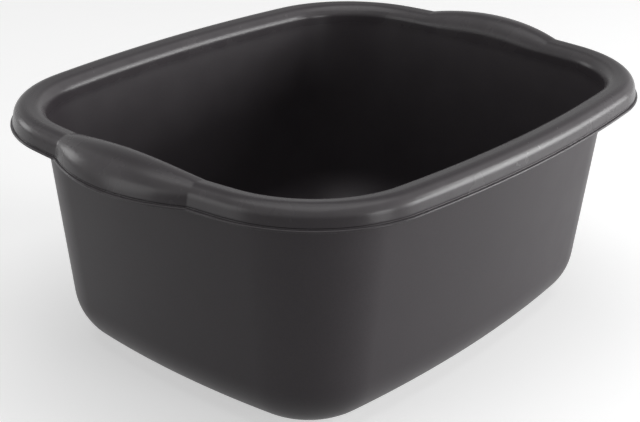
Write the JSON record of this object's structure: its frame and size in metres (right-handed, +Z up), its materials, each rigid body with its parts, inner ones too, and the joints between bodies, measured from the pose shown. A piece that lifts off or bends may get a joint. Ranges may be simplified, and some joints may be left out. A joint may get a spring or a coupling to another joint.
{
  "type": "washing up bowl",
  "caption": "Rounded rectangular washing-up bowl moulded in one piece, with steep tapering walls, a rolled rim and a swollen grip on each short end",
  "frame": {"origin": "middle of the plane that the bowl stands on, under the middle of its length and width", "axes": "+X along the length, through the middle of one grip; +Y along the width; +Z up"},
  "size_m": [0.397, 0.3098, 0.1656],
  "materials": {
    "polypropylene": "dark grey injection-moulded polypropylene, satin walls and a slightly glossier rim"
  },
  "bodies": {
    "root": {"bowl": "polypropylene"}
  },
  "joints": []
}
